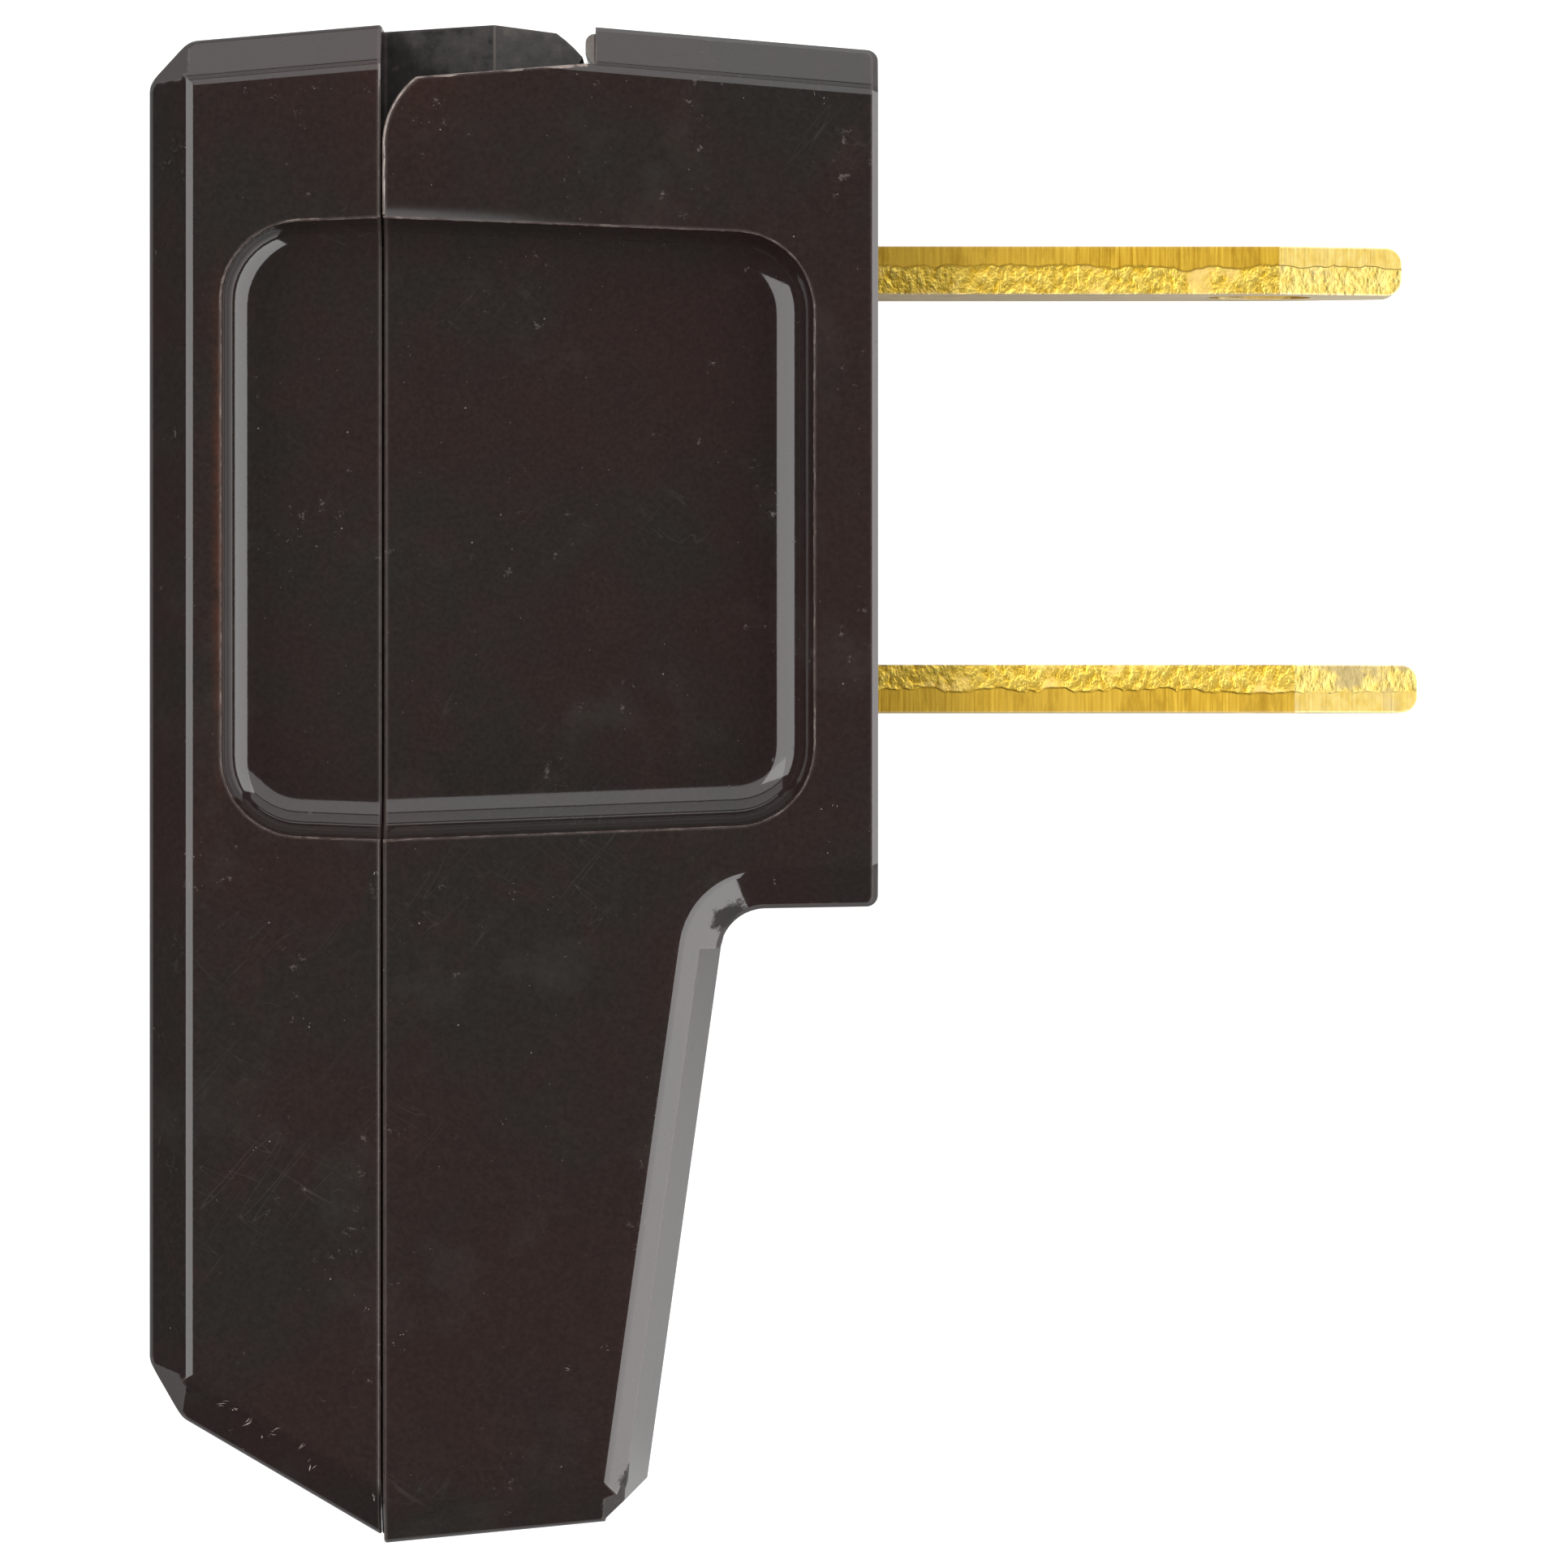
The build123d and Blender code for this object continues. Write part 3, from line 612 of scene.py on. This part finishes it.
def flash_plastic(name, bare, paleness):
    """Thin mould flash, broken to a rough pinkish grey where the noise is above bare."""
    shader = Shader(name)
    ragged = shader.noise(2600, detail=5.0, roughness=0.75)
    pale = colour(*(paleness * part for part in FLASH_TINT))
    base = shader.mix(shader.ramp(ragged, bare, bare + FLASH_FADE), FLASH_DARK, pale)
    rough = shader.spread(ragged, 0.3, 0.5)
    relief = shader.bump(ragged, FLASH_DEPTH)
    return shader.finish(Base_Color=base, Roughness=rough, IOR=PLASTIC_IOR, Normal=relief)


def add_piece(name, body, verts, faces, look):
    """Makes a piece of the housing that moves with a body."""
    mesh = bpy.data.meshes.new(name)
    mesh.from_pydata(verts, [], faces)
    mesh.materials.append(look)
    piece = bpy.data.objects.new(name, mesh)
    scene.collection.objects.link(piece)
    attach(piece, body)


def dense(line):
    """The same line with points in short steps."""
    points = []
    for start, end in zip(line, line[1:]):
        steps = max(1, round((end - start).length / FLASH_STEP))
        points += [start.lerp(end, step / steps) for step in range(steps)]
    return points + [line[-1]]


def rounded(corners, radius):
    """A line through these corners of an open outline, with its inner corners rounded."""
    points = [Vector(corner) for corner in corners]
    line = [points[0]]
    for before, corner, after in zip(points, points[1:], points[2:]):
        back, ahead = (before - corner).normalized(), (after - corner).normalized()
        half = back.angle(ahead) / 2
        middle = corner + (back + ahead).normalized() * (radius / math.sin(half))
        start, end = (corner + way * (radius / math.tan(half)) for way in (back, ahead))
        for step in range(ARC_STEPS + 1):
            blend = start.lerp(end, step / ARC_STEPS) - middle
            line.append(middle + blend.normalized() * radius)
    return dense(line + [points[-1]])


def cheek_line():
    """The edge of a cheek, which goes up the parting plane, round the hinge axis and then straight on."""
    start = Vector((HINGE_AXIS.x - CHEEK_RADIUS, CHEEK_FOOT))
    turns = [math.radians(180 - CHEEK_TURN * step / ARC_STEPS) for step in range(ARC_STEPS + 1)]
    arc = [HINGE_AXIS + CHEEK_RADIUS * Vector((math.cos(turn), math.sin(turn))) for turn in turns]
    return dense([start] + arc + [CHEEK_END])


def flash(name, body, line, away, width, height, look, seed, root=FLASH_ROOT):
    """A ragged fin of mould flash along an edge of both side faces, which dips below the face here and there.
    It spreads onto the face on the left of the line, or on the right where away is -1. A line without heights
    of its own lies on the side faces."""
    draw = random.Random(seed)
    shift = Vector((draw.uniform(0, FLASH_SHIFT), draw.uniform(0, FLASH_SHIFT), 0))
    verts, faces = [], []
    for side in (-1, 1):
        first = len(verts)
        for index, point in enumerate(line):
            ahead = (line[min(index + 1, len(line) - 1)] - line[max(index - 1, 0)]).xy.normalized()
            out = Vector((-ahead.y, ahead.x)) * away
            level = point.z if len(point) == 3 else HALF_WIDTH
            # Wider and higher where the noise swells
            spot = Vector((point.x, point.y, side * level)) / MM + shift
            swell = noise.fractal(spot * FLASH_WAVES, OCTAVE_FALL, OCTAVE_STEP, OCTAVES)
            swell += TEETH_SHARE * noise.noise(spot * FLASH_TEETH)
            spread = width * max(SPREAD_LEAST, SPREAD_MEAN + SPREAD_SWING * swell)
            rise = height * (RISE_MEAN + RISE_SWING * swell)
            foot, crest = (spread, -FLASH_SUNK), (CREST_PLACE * spread, rise)
            heel = (-root, min(rise, 0) - ROOT_SUNK)
            for across, up in (foot, crest, heel):
                at = point.xy + out * across
                verts.append((at.x, at.y, side * (level + up)))
        last = len(verts) - 3
        for ring in range(first, last, 3):
            for edge in range(3):
                corner, turned = ring + edge, ring + (edge + 1) % 3
                quad = (corner, turned, turned + 3, corner + 3)
                faces.append(quad if side * away > 0 else quad[::-1])
        faces.append((first + 2, first + 1, first) if side * away > 0 else (first, first + 1, first + 2))
        faces.append((last, last + 1, last + 2) if side * away > 0 else (last + 2, last + 1, last))
    add_piece(name, body, verts, faces, look)


def nicks(name, body, marks, look, seed):
    """Slivers of raised plastic left by knocks: those that the photograph shows on the near side, and others
    on the far one."""
    draw = random.Random(seed)
    verts, faces = [], []
    for side in (1, -1):
        for x, y, length, direction in marks * NICK_SLIVERS:
            if side > 0:
                turn = math.radians(direction + draw.uniform(-NICK_TURN, NICK_TURN))
                drift = NICK_DRIFT
            else:
                turn = math.radians(draw.uniform(0, 180))
                drift = FAR_DRIFT
            middle = Vector((x + draw.uniform(-drift, drift), y + draw.uniform(-drift, drift))) * MM
            along = Vector((math.cos(turn), math.sin(turn))) * MM
            across = Vector((-along.y, along.x))
            half = length * draw.uniform(*NICK_SHARE)
            thick = draw.uniform(*NICK_THICK)
            crest = middle + across * draw.uniform(-NICK_BEND, NICK_BEND)
            back, ahead = middle - along * half, middle + along * half
            rim = [back, crest - across * thick, ahead, crest + across * thick]
            first = len(verts)
            verts += [(point.x, point.y, side * (HALF_WIDTH - NICK_RIM_SUNK)) for point in rim]
            verts.append((*crest, side * (HALF_WIDTH + NICK_RISE)))
            verts.append((*crest, side * (HALF_WIDTH - NICK_ROOT_SUNK)))
            for corner in range(4):
                after = (corner + 1) % 4
                for triangle in ((corner, after, 4), (after, corner, 5)):
                    triangle = [first + index for index in triangle]
                    faces.append(triangle if side > 0 else triangle[::-1])
    add_piece(name, body, verts, faces, look)


def floor_white():
    """Pale floor that is lifted to white where it is seen directly, as on a bleached product photograph."""
    shader = Shader("floor_white")
    seen = shader.add("ShaderNodeLightPath").outputs["Is Camera Ray"]
    return shader.finish(
        Base_Color=colour(FLOOR_GREY, FLOOR_GREY, FLOOR_GREY),
        Roughness=FLOOR_ROUGHNESS,
        Emission_Color=colour(1.0, 1.0, 1.0),
        Emission_Strength=shader.math("MULTIPLY", seen, FLOOR_LIFT),
    )


def panel(name, azimuths, elevations, brightness):
    """A soft flat light that fills these angles from the view's middle. Azimuth goes from +X to +Y."""
    turn, rise = (math.radians(sum(pair) / 2) for pair in (azimuths, elevations))
    half_turn, half_rise = (math.radians((high - low) / 2) for low, high in (azimuths, elevations))
    out = Vector((math.cos(rise) * math.cos(turn), math.cos(rise) * math.sin(turn), math.sin(rise)))
    light = bpy.data.lights.new(name, "AREA")
    light.shape = "RECTANGLE"
    light.size = 2 * PANEL_DISTANCE * math.cos(rise) * math.tan(half_turn)
    light.size_y = 2 * PANEL_DISTANCE * math.tan(half_rise)
    light.energy = brightness * light.size * light.size_y * math.pi
    holder = bpy.data.objects.new(name, light)
    holder.location = VIEW_MIDDLE + PANEL_DISTANCE * out
    holder.rotation_euler = (-out).to_track_quat("-Z", "Y").to_euler()
    holder.visible_camera = False
    scene.collection.objects.link(holder)


# Camera
camera_data = bpy.data.cameras.new("photo_view")
camera_data.sensor_width = SENSOR_WIDTH
camera_data.lens = LENS
camera_data.clip_start = CLIP_START
camera_data.clip_end = CLIP_END
camera = bpy.data.objects.new("photo_view", camera_data)
camera.location = CAMERA_PLACE
scene.collection.objects.link(camera)
scene.camera = camera

# Floor
floor_z = cad_box[0].z
floor_mesh = bpy.data.meshes.new("floor")
turns = [math.tau * step / FLOOR_SIDES for step in range(FLOOR_SIDES)]
rim = [(FLOOR_RADIUS * math.cos(turn), FLOOR_RADIUS * math.sin(turn), floor_z) for turn in turns]
floor_mesh.from_pydata(rim, [], [range(FLOOR_SIDES)])
floor_mesh.materials.append(floor_white())
floor = bpy.data.objects.new("floor", floor_mesh)
scene.collection.objects.link(floor)

# Backdrop that is white where it is seen directly and dim in reflections
world = bpy.data.worlds.new("studio")
world.use_nodes = True
sky = world.node_tree
background = sky.nodes["Background"]
seen = sky.nodes.new("ShaderNodeLightPath").outputs["Is Camera Ray"]
glow = sky.nodes.new("ShaderNodeMapRange")
sky.links.new(seen, glow.inputs["Value"])
glow.inputs["To Min"].default_value = WORLD_GLOW
glow.inputs["To Max"].default_value = BACKDROP
sky.links.new(glow.outputs["Result"], background.inputs["Strength"])
background.inputs["Color"].default_value = colour(1.0, 1.0, 1.0)
scene.world = world
scene.view_settings.view_transform = "Standard"

# Soft lights
for name, (azimuths, elevations, brightness) in PANELS.items():
    panel(name, azimuths, elevations, brightness)

# Looks
body_plastic = housing_plastic("body_plastic", has_tongue=False)
cover_plastic = housing_plastic("cover_plastic", has_tongue=True)
brass = blade_brass()
for name, look in (
    ("front_body", body_plastic),
    ("hinged_cover", cover_plastic),
    ("upper_blade", brass),
    ("lower_blade", brass),
):
    nodes[name].material_slots[0].material = look

# Mould flash round the finger grips and along the cheeks, and a dark strip in the parting line that stands in
# for its shadow
rim_flash = flash_plastic("rim_flash", bare=0.44, paleness=0.17)
cheek_flash = flash_plastic("cheek_flash", bare=0.34, paleness=0.26)
parting_shadow_look = flash_plastic("parting_shadow_look", bare=0.58, paleness=0.08)
flash("cover_grip_flash", "cover", rounded(COVER_GRIP, GRIP_CORNER), -1, *GRIP_FIN, rim_flash, seed=3)
flash("body_grip_flash", "body", rounded(BODY_GRIP, GRIP_CORNER), 1, *GRIP_FIN, rim_flash, seed=5)
flash("cheek_edge_flash", "body", cheek_line(), -1, *CHEEK_FIN, cheek_flash, seed=8)
# Dark strip that stands in for the shadow in the parting line
flash("parting_shadow_strip", "body", dense(PARTING_SHADOW_STRIP), -1, *SHADOW_STRIP_FIN, parting_shadow_look, seed=11, root=SHADOW_STRIP_ROOT)

# Nicks and scuffs on the side faces
nicks("cover_nicks", "cover", COVER_NICKS, cheek_flash, seed=21)
nicks("body_nicks", "body", BODY_NICKS, cheek_flash, seed=22)
